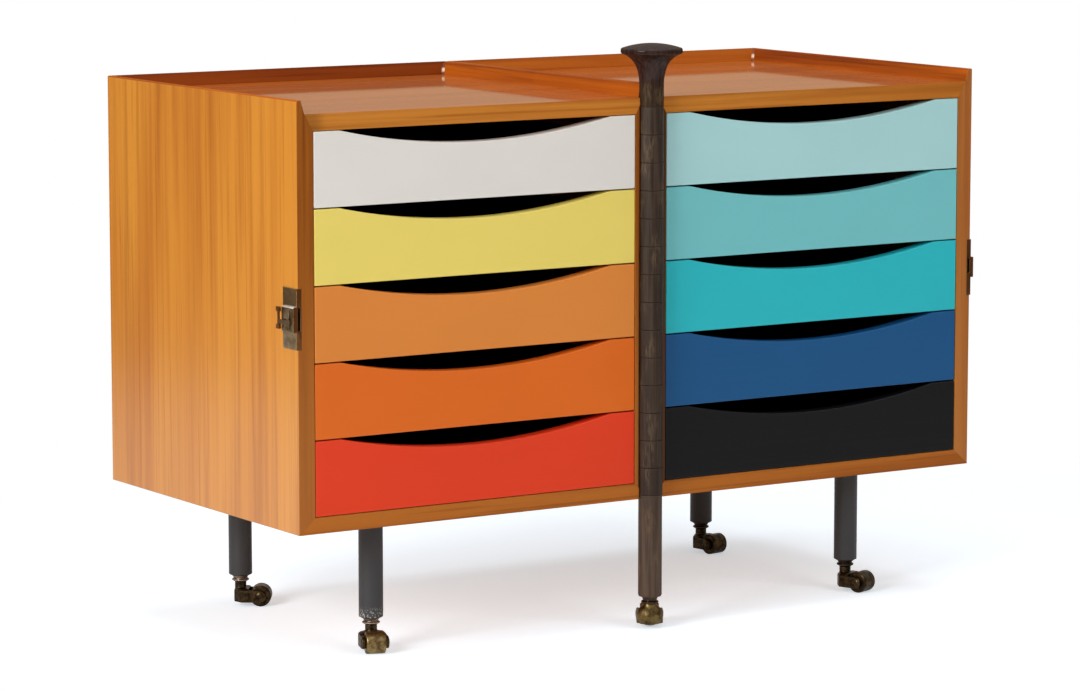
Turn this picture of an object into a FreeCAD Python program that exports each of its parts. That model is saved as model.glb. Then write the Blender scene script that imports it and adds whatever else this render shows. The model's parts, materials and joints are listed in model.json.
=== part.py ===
import FreeCAD, Part
import math
import os
import re
import Sketcher

# Folding drawer cabinet: two five-drawer halves hinged on a full-height post.
# Millimetres. Origin on the floor below the middle of the overall size, +Z up.
# The drawers face -Y and the right half is on +X.

SIZES = {
    # carcass of one half
    "half_width": 457,
    "depth": 444,
    "side_thick": 20,
    "bottom_thick": 18,
    "top_thick": 18.5,
    "opening_height": 421,
    "halves_gap": 1,
    "front_gap": 1.5,
    "edge_round": 0.8,
    "wood_gap": 0.2,
    # rims round the trays
    "rim_height": 15,
    "rim_base": 10,
    "rim_top": 5.5,
    "rim_round": 1.5,
    # back panel, let into rabbets
    "back_thick": 10,
    "rabbet": 10,
    # drawers and their runners
    "drawer_gap": 1.5,
    "drawer_side_gap": 1,
    "front_thick": 18,
    "scoop_width": 350,
    "scoop_depth": 20,
    "box_back_gap": 16,
    "box_height": 55,
    "box_lift": 6,
    "box_wall": 12,
    "box_floor": 5,
    "box_floor_lift": 8,
    "runner_height": 10,
    "runner_reach": 5.5,
    "runner_lift": 24,
    "runner_setback": 24,
    "runner_gap": 0.3,
    "groove_depth": 6,
    # hinge post
    "barrel_dia": 27.8,
    "stack_low": 4.5,
    "stack_drop": 10,
    "rod_dia": 10,
    "rod_in_foot": 40,
    "rod_in_head": 26,
    "rod_end_gap": 0.3,
    "running_gap": 0.05,
    "knuckle_gap": 0.4,
    "knuckle_chamfer": 0.5,
    "cove_gap": 1,
    "lug_width": 9,
    "lug_height": 12,
    "lug_shift": 4.6,
    "lug_reach": 40,
    "screw_dia": 4,
    "screw_length": 16,
    "screw_head_dia": 8,
    "screw_head_thick": 2,
    "screw_from_end": 11,
    "screw_gap": 0.1,
    # turned head of the post
    "head_dia": 70,
    "head_height": 61,
    "head_edge": 5.5,
    "dome_rise": 6,
    "flare_start": 12.5,
    "waist_dia": 34.4,
    "waist_height": 33.5,
    "flare_radius_low": 60,
    "flare_radius_high": 26.6,
    "head_round": 2.4,
    # legs and post foot
    "leg_dia": 27.4,
    "foot_dia": 27.2,
    "leg_length": 115,
    "foot_shorter": 2,
    "leg_from_end": 129,
    "leg_from_front": 68.5,
    "leg_from_back": 72,
    "leg_chamfer": 3.4,
    "foot_chamfer": 0.8,
    "chamfer_height": 2,
    "tenon_dia": 16,
    "tenon_length": 13,
    # casters
    "caster_height": 36,
    "ferrule_dia": 19,
    "ferrule_waist_dia": 16,
    "ferrule_end_dia": 15,
    "ferrule_height": 7,
    "ring_dia": 20,
    "ring_thick": 1.2,
    "ring_slope": 1.5,
    "sleeve_dia": 12,
    "sleeve_length": 22,
    "stem_dia": 8,
    "stem_length": 24,
    "stem_end_gap": 3,
    "seat_gap": 0.3,
    "neck_dia": 13.5,
    "arm_height": 14,
    "crown_height": 16,
    "crown_back": 7.2,
    "crown_back_width": 12,
    "crown_flank": 1.5,
    "crown_bevel": 2.2,
    "crown_round": 3,
    "cheek_thick": 3.8,
    "trail": 24,
    "wheel_dia": 25,
    "wheel_width": 22,
    "wheel_round": 1.5,
    "wheel_gap": 0.5,
    "crown_gap": 1,
    "axle_dia": 5,
    "rivet_height": 0.8,
    "rivet_dia": 8,
    # resting direction of each caster's arm, in degrees from +X
    "left_front_turn": 250,
    "left_back_turn": 326,
    "right_front_turn": 290,
    "right_back_turn": 279,
    "post_turn": 57,
    # latch and keeper
    "plate_height": 66.5,
    "plate_width": 30,
    "plate_thick": 1.5,
    "flange_width": 4.5,
    "latch_height": 28,
    "keeper_height": 24,
    "housing_width": 26,
    "latch_proud": 5.5,
    "keeper_proud": 5.3,
    "housing_depth": 4.5,
    "housing_wall": 1.2,
    "hook_thick": 2.6,
    "hook_gap": 0.3,
    "hook_width": 5,
    "beak_length": 3.4,
    "beak_drop": 3,
    "pivot_from_front": 10,
    "pivot_below_middle": 4,
    "pivot_dia": 4,
    "boss_dia": 8,
    "lever_thick": 1.8,
    "lever_width": 5,
    "lever_reach": 22,
    "bar_height": 24,
    "bar_width": 2.5,
    "knob_width": 5,
    "keeper_slot_drop": 6.8,
}

DRAWERS = 5
KNUCKLES = 14
KNUCKLES_EACH = KNUCKLES // 2

doc = FreeCAD.newDocument("FoldingDrawerCabinet")
sheet = doc.addObject("Spreadsheet::Sheet", "Sizes")
for row, (alias, size) in enumerate(SIZES.items(), start=1):
    sheet.set(f"A{row}", alias)
    sheet.set(f"B{row}", str(size))
    sheet.setAlias(f"B{row}", alias)
doc.recompute()

# Places worked out from the sizes. Pieces are drawn from the hinge axis at the
# level of the carcass's underside: x across, y back from the axis, z up.

FLOOR_TO_CARCASS = "(caster_height + leg_length)"
AXIS_Y = "(-(depth + front_gap/2 - head_dia/2)/2)"
FRONT = "(front_gap/2)"
REAR = "(front_gap/2 + depth)"
OUTER = "(halves_gap/2 + half_width)"
MIDDLE = "(halves_gap/2)"
BAY_OUTER = "(halves_gap/2 + half_width - side_thick)"
BAY_INNER = "(halves_gap/2 + side_thick)"
CEILING = "(bottom_thick + opening_height)"
TRAY = "(bottom_thick + opening_height + top_thick)"
RIM_TOP = "(bottom_thick + opening_height + top_thick + rim_height)"
PITCH = f"(opening_height/{DRAWERS})"
STACK_TOP = "(bottom_thick + opening_height + top_thick - stack_drop)"
KNUCKLE = f"(({STACK_TOP} - stack_low)/{KNUCKLES})"
COVE_RADIUS = "(barrel_dia/2 + cove_gap)"
LUG_X = "(halves_gap/2 + side_thick/2)"
FOOT_LENGTH = "(leg_length - foot_shorter)"
LATCH_Z = "((bottom_thick + opening_height + top_thick + rim_height)/2)"
WHEEL_Z = "(wheel_dia/2)"
NECK_TOP = "(caster_height - ferrule_height - seat_gap)"
HALVES = {"left": -1, "right": 1}

nodes = {}


def bound(text):
    """The expression with each size's name turned into its cell."""
    return re.sub(
        r"[a-z_]+",
        lambda word: "Sizes." + word.group() if word.group() in SIZES else word.group(),
        text,
    )


def value(text):
    """The number that an expression gives now."""
    return float(sheet.evalExpression(bound(text)))


def bind(thing, **properties):
    """Ties properties of an object to expressions; a double underscore is a dot."""
    for name, text in properties.items():
        thing.setExpression(name.replace("__", "."), bound(text))


def place(thing, x="0", y="0", z="0", turn=None):
    """Puts a piece at x, y, z, turned about the vertical."""
    thing.Placement = FreeCAD.Placement(
        FreeCAD.Vector(), FreeCAD.Rotation(FreeCAD.Vector(0, 0, 1), 0)
    )
    if turn:
        bind(thing, Placement__Rotation__Angle=turn)
    bind(thing, Placement__Base__x=x, Placement__Base__y=y, Placement__Base__z=z)


def keep(name, thing, x="0", y=AXIS_Y, z=FLOOR_TO_CARCASS, turn=None):
    """Names a finished piece and puts it in the cabinet."""
    thing.Label = name
    place(thing, x, y, z, turn)
    nodes[name] = thing
    return thing


def new_body(name):
    return doc.addObject("PartDesign::Body", name)


def new_sketch(body, role, offset="0"):
    """A sketch on one of the body's own origin planes, moved along its normal."""
    sketch = body.newObject("Sketcher::SketchObject", body.Name + "_sketch")
    planes = body.Origin.OriginFeatures
    sketch.AttachmentSupport = [(next(p for p in planes if p.Role == role), "")]
    sketch.MapMode = "FlatFace"
    bind(sketch, AttachmentOffset__Base__z=offset)
    return sketch


def arc_between(start, end, radius):
    """An arc from start to end; a positive radius turns to the left of the way."""
    chord = end - start
    rise = math.sqrt(max(radius**2 - (chord.Length / 2) ** 2, 0))
    left = FreeCAD.Vector(-chord.y, chord.x, 0).normalize()
    side = 1 if radius > 0 else -1
    centre = start + chord * 0.5 + left * rise * side
    middle = (start + chord * 0.5) - centre
    top = centre + middle.normalize() * abs(radius)
    return Part.Arc(start, top, end).toShape().Curve, centre, start, end


def draw_outline(sketch, points, arcs=None):
    """A closed outline through points, given as pairs of expressions.

    arcs maps the number of an edge to its radius expression. The edge bulges to
    the right of the way round where the expression is positive.
    """
    arcs = arcs or {}
    corners = [FreeCAD.Vector(value(x), value(y), 0) for x, y in points]
    count = len(corners)
    first_end = []
    for i, corner in enumerate(corners):
        following = corners[(i + 1) % count]
        if i in arcs:
            radius = value(arcs[i])
            _, centre, _, _ = arc_between(corner, following, radius)
            start_angle = math.atan2(corner.y - centre.y, corner.x - centre.x)
            end_angle = math.atan2(following.y - centre.y, following.x - centre.x)
            circle = Part.Circle(centre, FreeCAD.Vector(0, 0, 1), abs(radius))
            if radius > 0:
                sketch.addGeometry(Part.ArcOfCircle(circle, start_angle, end_angle))
                first_end.append((1, 2))
            else:
                sketch.addGeometry(Part.ArcOfCircle(circle, end_angle, start_angle))
                first_end.append((2, 1))
        else:
            sketch.addGeometry(Part.LineSegment(corner, following))
            first_end.append((1, 2))
    for i in range(count):
        after = (i + 1) % count
        sketch.addConstraint(
            Sketcher.Constraint("Coincident", i, first_end[i][1], after, first_end[after][0])
        )
    for i, (x, y) in enumerate(points):
        start = first_end[i][0]
        for kind, text, size in (
            ("DistanceX", x, corners[i].x),
            ("DistanceY", y, corners[i].y),
        ):
            number = sketch.addConstraint(Sketcher.Constraint(kind, -1, 1, i, start, size))
            sketch.setExpression(f"Constraints[{number}]", bound(text))
    for i, text in arcs.items():
        size = abs(value(text))
        number = sketch.addConstraint(Sketcher.Constraint("Radius", i, size))
        sketch.setExpression(f"Constraints[{number}]", bound(f"abs({text})"))
    return sketch


def draw_rectangle(sketch, x0, y0, x1, y1):
    return draw_outline(sketch, [(x0, y0), (x1, y0), (x1, y1), (x0, y1)])


def draw_circle(sketch, x, y, radius):
    centre = FreeCAD.Vector(value(x), value(y), 0)
    circle = Part.Circle(centre, FreeCAD.Vector(0, 0, 1), value(radius))
    sketch.addGeometry(circle)
    for kind, text, size in (("DistanceX", x, centre.x), ("DistanceY", y, centre.y)):
        number = sketch.addConstraint(Sketcher.Constraint(kind, -1, 1, 0, 3, size))
        sketch.setExpression(f"Constraints[{number}]", bound(text))
    number = sketch.addConstraint(Sketcher.Constraint("Radius", 0, value(radius)))
    sketch.setExpression(f"Constraints[{number}]", bound(radius))
    return sketch


def pad(body, sketch, length, backwards=False, both_ways=False):
    """Adds the sketch's outline, along its normal unless backwards."""
    feature = body.newObject("PartDesign::Pad", body.Name + "_pad")
    feature.Profile = sketch
    bind(feature, Length=length)
    feature.Reversed = backwards
    feature.Midplane = both_ways
    return feature


def cut(body, sketch, length, along=False, both_ways=False):
    """Cuts the sketch's outline away, against its normal unless along."""
    feature = body.newObject("PartDesign::Pocket", body.Name + "_cut")
    feature.Profile = sketch
    bind(feature, Length=length)
    feature.Reversed = along
    feature.Midplane = both_ways
    doc.recompute()
    if not feature.Shape.Volume < feature.BaseFeature.Shape.Volume:
        raise ValueError(f"{feature.Name} cuts nothing")
    return feature


def revolve(body, points, arcs=None):
    """A turned piece: an outline of radius and height, turned about the vertical."""
    sketch = draw_outline(new_sketch(body, "XZ_Plane"), points, arcs)
    feature = body.newObject("PartDesign::Revolution", body.Name + "_turned")
    feature.Profile = sketch
    feature.ReferenceAxis = (sketch, ["V_Axis"])
    feature.Angle = 360
    return feature


def round_edges(body, radius, chosen):
    """Rounds the edges of the body's tip that chosen accepts."""
    doc.recompute()
    base = body.Tip
    names = [f"Edge{n}" for n, edge in enumerate(base.Shape.Edges, start=1) if chosen(edge)]
    feature = body.newObject("PartDesign::Fillet", body.Name + "_round")
    feature.Base = (base, names)
    bind(feature, Radius=radius)
    return feature


def bevel_edges(body, size, chosen):
    """Bevels the edges of the body's tip that chosen accepts."""
    doc.recompute()
    base = body.Tip
    names = [f"Edge{n}" for n, edge in enumerate(base.Shape.Edges, start=1) if chosen(edge)]
    feature = body.newObject("PartDesign::Chamfer", body.Name + "_bevel")
    feature.Base = (base, names)
    bind(feature, Size=size)
    return feature


def box(name, x0, x1, y0, y1, z0, z1):
    """A block between the given limits."""
    block = doc.addObject("Part::Box", name)
    bind(block, Length=f"({x1}) - ({x0})", Width=f"({y1}) - ({y0})", Height=f"({z1}) - ({z0})")
    place(block, x0, y0, z0)
    return block


def cylinder_along_x(name, x0, x1, y, z, radius):
    """A round bar along x from x0 to x1, whichever is further."""
    bar = doc.addObject("Part::Cylinder", name)
    forward = value(x1) > value(x0)
    turn = 90 if forward else -90
    bar.Placement = FreeCAD.Placement(
        FreeCAD.Vector(), FreeCAD.Rotation(FreeCAD.Vector(0, 1, 0), turn)
    )
    length = f"({x1}) - ({x0})" if forward else f"({x0}) - ({x1})"
    bind(bar, Radius=radius, Height=length)
    bind(bar, Placement__Base__x=x0, Placement__Base__y=y, Placement__Base__z=z)
    return bar


def combine(kind, name, *things):
    """Part::Cut takes the second piece from the first, Part::Fuse joins them."""
    result = doc.addObject("Part::" + kind, name)
    result.Base, result.Tool = things
    return result


def group(name, things):
    """One node of separate pieces."""
    result = doc.addObject("Part::Compound", name)
    result.Links = things
    return result


def near(a, b):
    return abs(a - b) < 0.01


# Carcass panels


def cut_back_rabbet(body, sign):
    """The seat of the back panel, cut from the rear into each carcass board."""
    rear = new_sketch(body, "XZ_Plane", f"-{REAR}")
    draw_rectangle(
        rear,
        f"{sign}*({OUTER} - rabbet)",
        "bottom_thick - rabbet",
        f"{sign}*({MIDDLE} + rabbet)",
        f"{CEILING} + rabbet",
    )
    cut(body, rear, "back_thick", along=True)


def cut_cove(body):
    """The hollow that clears the post's barrel."""
    circle = draw_circle(new_sketch(body, "XY_Plane"), "0", "0", COVE_RADIUS)
    cut(body, circle, RIM_TOP, along=True)


def make_side(half, sign, is_outer):
    """A side panel, mitred at top and bottom and thinned to a tapered rim."""
    name = f"{half}_outer_side" if is_outer else f"{half}_inner_side"

    def inwards(depth):
        face = f"{OUTER} - ({depth})" if is_outer else f"{MIDDLE} + ({depth})"
        return f"{sign}*({face})"

    body = new_body(name)
    profile = draw_outline(
        new_sketch(body, "XZ_Plane", f"-{FRONT}"),
        [
            (inwards("0"), "0"),
            (inwards("side_thick"), "bottom_thick"),
            (inwards("side_thick"), CEILING),
            (inwards("rim_base"), TRAY),
            (inwards("rim_top"), RIM_TOP),
            (inwards("0"), RIM_TOP),
        ],
    )
    pad(body, profile, "depth", backwards=True)
    rim_z = value(RIM_TOP)
    round_edges(
        body,
        "rim_round",
        lambda e: near(e.BoundBox.ZMin, rim_z) and e.BoundBox.YLength > 1,
    )
    cut_back_rabbet(body, sign)
    if is_outer:
        cut_latch_seat(body, sign, "latch_height" if half == "left" else "keeper_height")
        outer_x, front_y = sign * value(OUTER), value(FRONT)
        round_edges(
            body,
            "edge_round",
            lambda e: near(e.BoundBox.XMin, outer_x)
            and near(e.BoundBox.XMax, outer_x)
            and near(e.BoundBox.YMax, front_y),
        )
    else:
        cut_cove(body)
        cut_lug_seats(body, half, sign)
    return keep(name, body)


def cut_lug_seats(body, half, sign):
    """Mortises for the knuckles' lugs, and holes for the screws through them."""
    middle = lug_middle(half)
    floor = new_sketch(body, "XY_Plane", f"{middle} - lug_height/2 - wood_gap")
    draw_rectangle(
        floor,
        f"{sign}*({LUG_X} - lug_width/2 - wood_gap)",
        "0",
        f"{sign}*({LUG_X} + lug_width/2 + wood_gap)",
        "lug_reach + wood_gap",
    )
    mortise = cut(body, floor, "lug_height + 2*wood_gap", along=True)
    to_middle = sign < 0
    bay = f"{sign}*{BAY_INNER}"
    shank = new_sketch(body, "YZ_Plane", bay)
    draw_circle(shank, "lug_reach - screw_from_end", middle, "screw_dia/2 + screw_gap")
    shank_hole = cut(body, shank, "screw_length + screw_gap", along=to_middle)
    head = new_sketch(body, "YZ_Plane", bay)
    draw_circle(head, "lug_reach - screw_from_end", middle, "screw_head_dia/2 + screw_gap")
    head_hole = cut(body, head, "screw_head_thick + screw_gap", along=to_middle)
    repeat_up(body, [mortise, shank_hole, head_hole])


def repeat_up(body, features):
    """Repeats features at every second knuckle."""
    pattern = body.newObject("PartDesign::LinearPattern", body.Name + "_pattern")
    pattern.Originals = features
    axes = body.Origin.OriginFeatures
    pattern.Direction = (next(a for a in axes if a.Role == "Z_Axis"), [""])
    bind(pattern, Length=f"{2 * (KNUCKLES_EACH - 1)}*{KNUCKLE}")
    pattern.Occurrences = KNUCKLES_EACH
    body.Tip = pattern
    return pattern


def knuckle_middle(half):
    """Height of the middle of a half's lowest knuckle."""
    below = 0.5 if half == "left" else 1.5
    return f"(stack_low + {below}*{KNUCKLE})"


def lug_middle(half):
    """Height of the middle of its lug, moved to stay clear of the mitred corners."""
    return f"({knuckle_middle(half)} - {HALVES[half]}*lug_shift)"


def make_bottom(half, sign):
    body = new_body(f"{half}_bottom")
    profile = draw_outline(
        new_sketch(body, "XZ_Plane", f"-{FRONT}"),
        [
            (f"{sign}*{OUTER}", "0"),
            (f"{sign}*{MIDDLE}", "0"),
            (f"{sign}*{BAY_INNER}", "bottom_thick"),
            (f"{sign}*{BAY_OUTER}", "bottom_thick"),
        ],
    )
    pad(body, profile, "depth", backwards=True)
    cut_back_rabbet(body, sign)
    cut_cove(body)
    for y in leg_places():
        hole = draw_circle(new_sketch(body, "XY_Plane"), leg_x(sign), y, "tenon_dia/2 + wood_gap")
        cut(body, hole, "tenon_length + wood_gap", along=True)
    return keep(f"{half}_bottom", body)


def make_top(half, sign):
    """The tray surface, mitred to the sides below their rims."""
    body = new_body(f"{half}_top")
    profile = draw_outline(
        new_sketch(body, "XZ_Plane", f"-{FRONT}"),
        [
            (f"{sign}*{BAY_OUTER}", CEILING),
            (f"{sign}*{BAY_INNER}", CEILING),
            (f"{sign}*({MIDDLE} + rim_base)", TRAY),
            (f"{sign}*({OUTER} - rim_base)", TRAY),
        ],
    )
    pad(body, profile, "depth", backwards=True)
    cut_back_rabbet(body, sign)
    cut_cove(body)
    return keep(f"{half}_top", body)


def make_back(half, sign):
    body = new_body(f"{half}_back")
    face = new_sketch(body, "XZ_Plane", f"-{REAR}")
    draw_rectangle(
        face,
        f"{sign}*({OUTER} - rabbet - wood_gap)",
        "bottom_thick - rabbet + wood_gap",
        f"{sign}*({MIDDLE} + rabbet + wood_gap)",
        f"{CEILING} + rabbet - wood_gap",
    )
    pad(body, face, "back_thick")
    return keep(f"{half}_back", body)


def make_back_rim(half, sign):
    """The strip along the tray's rear edge, tapered like the side rims."""
    body = new_body(f"{half}_back_rim")
    face = new_sketch(body, "XZ_Plane", f"-{REAR}")
    draw_outline(
        face,
        [
            (f"{sign}*({MIDDLE} + rim_base)", TRAY),
            (f"{sign}*({OUTER} - rim_base)", TRAY),
            (f"{sign}*({OUTER} - rim_top)", RIM_TOP),
            (f"{sign}*({MIDDLE} + rim_top)", RIM_TOP),
        ],
    )
    pad(body, face, "rim_base")
    sliver = new_sketch(body, "YZ_Plane")
    draw_outline(
        sliver,
        [
            (f"{REAR} - rim_base", TRAY),
            (f"{REAR} - rim_top", RIM_TOP),
            (f"{REAR} - rim_base", RIM_TOP),
        ],
    )
    cut(body, sliver, f"2*{OUTER}", both_ways=True)
    return keep(f"{half}_back_rim", body)


def drawer_floor(number):
    """Height of the lower edge of a drawer front; drawer 1 is the top one."""
    return f"(bottom_thick + {DRAWERS - number}*{PITCH} + drawer_gap/2)"


def make_runners(half, sign):
    """Two strips for each drawer, fixed to the side panels."""
    strips = []
    for number in range(1, DRAWERS + 1):
        low = f"{drawer_floor(number)} + box_lift + runner_lift"
        for wall, inward in ((BAY_OUTER, -1), (BAY_INNER, 1)):
            edges = [f"{sign}*{wall}", f"{sign}*({wall} + {inward}*runner_reach)"]
            edges.sort(key=value)
            strips.append(
                box(
                    f"{half}_runner",
                    *edges,
                    f"{FRONT} + runner_setback",
                    f"{REAR} - back_thick",
                    low,
                    f"{low} + runner_height",
                )
            )
    return keep(f"{half}_runners", group(f"{half}_runners", strips))


# Legs


def leg_x(sign):
    return f"{sign}*({OUTER} - leg_from_end)"


def leg_places():
    """Distance of the front and back legs behind the axis."""
    return (f"{FRONT} + leg_from_front", f"{REAR} - leg_from_back")


def turned_leg(name, dia, length, chamfer, top):
    """A round leg below the carcass: its socket's bore, chamfered end and upper end."""
    bore = "(sleeve_dia/2 + wood_gap)"
    bore_top = "(-leg_length + sleeve_length + stem_end_gap)"
    body = new_body(name)
    revolve(
        body,
        [
            ("0", bore_top),
            (bore, bore_top),
            (bore, f"-{length}"),
            (f"{dia}/2 - {chamfer}", f"-{length}"),
            (f"{dia}/2", f"-{length} + chamfer_height"),
        ]
        + top,
    )
    return body


def make_leg(half, sign, which, y):
    name = f"{half}_{which}_leg"
    tenon = [
        ("leg_dia/2", "0"),
        ("tenon_dia/2", "0"),
        ("tenon_dia/2", "tenon_length"),
        ("0", "tenon_length"),
    ]
    body = turned_leg(name, "leg_dia", "leg_length", "leg_chamfer", tenon)
    return keep(name, body, x=leg_x(sign), y=f"{AXIS_Y} + {y}")


# Post


def make_rod():
    body = new_body("hinge_rod")
    revolve(
        body,
        [
            ("0", "-rod_in_foot"),
            ("rod_dia/2", "-rod_in_foot"),
            ("rod_dia/2", f"{TRAY} + rod_in_head"),
            ("0", f"{TRAY} + rod_in_head"),
        ],
    )
    return keep("hinge_rod", body)


def make_knuckles(half, sign):
    """Every second ring of the barrel, each with a lug let into the side panel."""
    body = new_body(f"{half}_knuckles")
    body.AllowCompound = True
    middle = knuckle_middle(half)
    low = f"({middle} - {KNUCKLE}/2 + knuckle_gap/2)"
    high = f"({middle} + {KNUCKLE}/2 - knuckle_gap/2)"
    bore = "rod_dia/2 + running_gap"
    ring = revolve(
        body,
        [
            (bore, low),
            ("barrel_dia/2 - knuckle_chamfer", low),
            ("barrel_dia/2", f"{low} + knuckle_chamfer"),
            ("barrel_dia/2", f"{high} - knuckle_chamfer"),
            ("barrel_dia/2 - knuckle_chamfer", high),
            (bore, high),
        ],
    )
    lug_level = lug_middle(half)
    base = new_sketch(body, "XY_Plane", f"{lug_level} - lug_height/2")
    draw_rectangle(
        base,
        f"{sign}*({LUG_X} - lug_width/2)",
        "rod_dia/2 + running_gap",
        f"{sign}*({LUG_X} + lug_width/2)",
        "lug_reach",
    )
    lug = pad(body, base, "lug_height")
    hole = new_sketch(body, "YZ_Plane", f"{sign}*{LUG_X}")
    draw_circle(hole, "lug_reach - screw_from_end", lug_level, "screw_dia/2 + screw_gap")
    screw_hole = cut(body, hole, "side_thick", both_ways=True)
    repeat_up(body, [ring, lug, screw_hole])
    return keep(f"{half}_knuckles", body)


def make_knuckle_screws(half, sign):
    """The screws that hold the lugs, driven from inside the drawer bay."""
    screws = []
    for number in range(KNUCKLES_EACH):
        height = f"({lug_middle(half)} + {2 * number}*{KNUCKLE})"
        head_face = f"{sign}*{BAY_INNER}"
        y = "lug_reach - screw_from_end"
        tip = f"{sign}*({BAY_INNER} - screw_length)"
        under_head = f"{sign}*({BAY_INNER} - screw_head_thick)"
        shank = cylinder_along_x("shank", head_face, tip, y, height, "screw_dia/2")
        head = cylinder_along_x("head", head_face, under_head, y, height, "screw_head_dia/2")
        screws.append(combine("Fuse", "screw", shank, head))
    name = f"{half}_knuckle_screws"
    return keep(name, group(name, screws))


def make_post_head():
    """The turned head: a shaft that flares to a domed disc."""
    body = new_body("post_head")
    bore = "rod_dia/2 + wood_gap"
    low = f"({STACK_TOP} + knuckle_gap/2)"
    bore_top = f"({TRAY} + rod_in_head + rod_end_gap)"
    edge_top = f"({TRAY} + head_height - dome_rise)"
    edge_low = f"({TRAY} + head_height - dome_rise - head_edge)"
    revolve(
        body,
        [
            (bore, low),
            ("barrel_dia/2", low),
            ("barrel_dia/2", f"{TRAY} + flare_start"),
            ("waist_dia/2", f"{TRAY} + waist_height"),
            ("head_dia/2", edge_low),
            ("head_dia/2", edge_top),
            ("0", f"{TRAY} + head_height"),
            ("0", bore_top),
            (bore, bore_top),
        ],
        {
            2: "-flare_radius_low",
            3: "-flare_radius_high",
            5: "((head_dia/2)^2 + dome_rise^2)/(2*dome_rise)",
        },
    )
    rim = value("head_dia/2")
    round_edges(body, "head_round", lambda e: near(e.BoundBox.XMax, rim) and e.BoundBox.ZLength < 0.1)
    return keep("post_head", body)


def make_post_foot():
    """The turned foot below the barrel, on the lower end of the rod."""
    top = "(stack_low - knuckle_gap/2)"
    body = turned_leg(
        "post_foot", "foot_dia", FOOT_LENGTH, "foot_chamfer", [("foot_dia/2", top), ("0", top)]
    )
    bore = draw_circle(new_sketch(body, "XY_Plane"), "0", "0", "rod_dia/2 + wood_gap")
    cut(body, bore, "2*(rod_in_foot + rod_end_gap)", both_ways=True)
    return keep("post_foot", body)


# Casters: drawn from the swivel axis at the floor, with the arm along +x


def make_socket(name, leg_end):
    """A turned ferrule under the leg with a sleeve let into it."""
    body = new_body(name)
    bore = "stem_dia/2 + running_gap"
    base = "(caster_height - ferrule_height)"
    revolve(
        body,
        [
            (bore, base),
            ("ferrule_end_dia/2", base),
            ("ring_dia/2", f"{base} + ring_slope"),
            ("ring_dia/2", f"{base} + ring_slope + ring_thick"),
            ("ferrule_waist_dia/2", f"{base} + 2*ring_slope + ring_thick"),
            ("ferrule_dia/2", leg_end),
            ("sleeve_dia/2", leg_end),
            ("sleeve_dia/2", "caster_height + sleeve_length"),
            (bore, "caster_height + sleeve_length"),
        ],
    )
    return body


def make_horn(name):
    """Stem, neck and crown of a caster, with two cheeks and the riveted axle."""
    body = new_body(name)
    low = f"({WHEEL_Z} - arm_height/2)"
    high = f"({WHEEL_Z} + arm_height/2)"
    crown_top = f"({low} + crown_height)"
    crown_front = "(trail - wheel_dia/2 - crown_gap)"
    inside = "(wheel_width/2 + wheel_gap)"
    outside = "(wheel_width/2 + wheel_gap + cheek_thick)"
    cheeks = draw_outline(
        new_sketch(body, "XZ_Plane"),
        [("crown_flank", low), ("trail", low), ("trail", high), ("crown_flank", high)],
        {1: "arm_height/2 + 0.001"},
    )
    pad(body, cheeks, f"2*{outside}", both_ways=True)
    mouth = new_sketch(body, "XY_Plane", low)
    draw_rectangle(mouth, "0", f"-{inside}", "trail + arm_height", inside)
    cut(body, mouth, "arm_height", along=True)
    crown = draw_outline(
        new_sketch(body, "XY_Plane", low),
        [
            ("-crown_back", "-crown_back_width/2"),
            ("crown_flank", f"-{outside}"),
            (crown_front, f"-{outside}"),
            (crown_front, outside),
            ("crown_flank", outside),
            ("-crown_back", "crown_back_width/2"),
        ],
    )
    pad(body, crown, "crown_height")
    front_x, top_z = value(crown_front), value(crown_top)
    round_edges(
        body,
        "crown_round",
        lambda e: near(e.BoundBox.ZMax, top_z)
        and e.BoundBox.ZLength > 1
        and e.BoundBox.XMax < front_x - 1,
    )
    bevel_edges(
        body,
        "crown_bevel",
        lambda e: near(e.BoundBox.ZMin, top_z) and e.BoundBox.XMin < front_x - 1,
    )
    neck = draw_circle(new_sketch(body, "XY_Plane", WHEEL_Z), "0", "0", "neck_dia/2")
    pad(body, neck, f"{NECK_TOP} - {WHEEL_Z}")
    stem = draw_circle(new_sketch(body, "XY_Plane", NECK_TOP), "0", "0", "stem_dia/2")
    pad(body, stem, "stem_length")
    axle = draw_circle(new_sketch(body, "XZ_Plane"), "trail", WHEEL_Z, "axle_dia/2")
    pad(body, axle, f"2*{outside}", both_ways=True)
    for side in (-1, 1):
        rivet = new_sketch(body, "XZ_Plane", f"{side}*{outside}")
        draw_circle(rivet, "trail", WHEEL_Z, "rivet_dia/2")
        pad(body, rivet, "rivet_height", backwards=side < 0)
    return body


def make_wheel(name):
    """A broad roller with rounded edges, bored for the axle."""
    body = new_body(name)
    face = new_sketch(body, "XZ_Plane")
    draw_circle(face, "trail", WHEEL_Z, "wheel_dia/2")
    pad(body, face, "wheel_width", both_ways=True)
    rim = value("wheel_width/2")
    round_edges(body, "wheel_round", lambda e: near(abs(e.BoundBox.YMax), rim) and e.BoundBox.ZLength > 1)
    bore = draw_circle(new_sketch(body, "XZ_Plane"), "trail", WHEEL_Z, "axle_dia/2 + running_gap")
    cut(body, bore, "2*wheel_width", both_ways=True)
    return body


def caster_places():
    """Name, x and y of each caster's swivel axis."""
    yield "post", "0", "0"
    for half, sign in HALVES.items():
        for which, y in zip(("front", "back"), leg_places()):
            yield f"{half}_{which}", leg_x(sign), y


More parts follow.
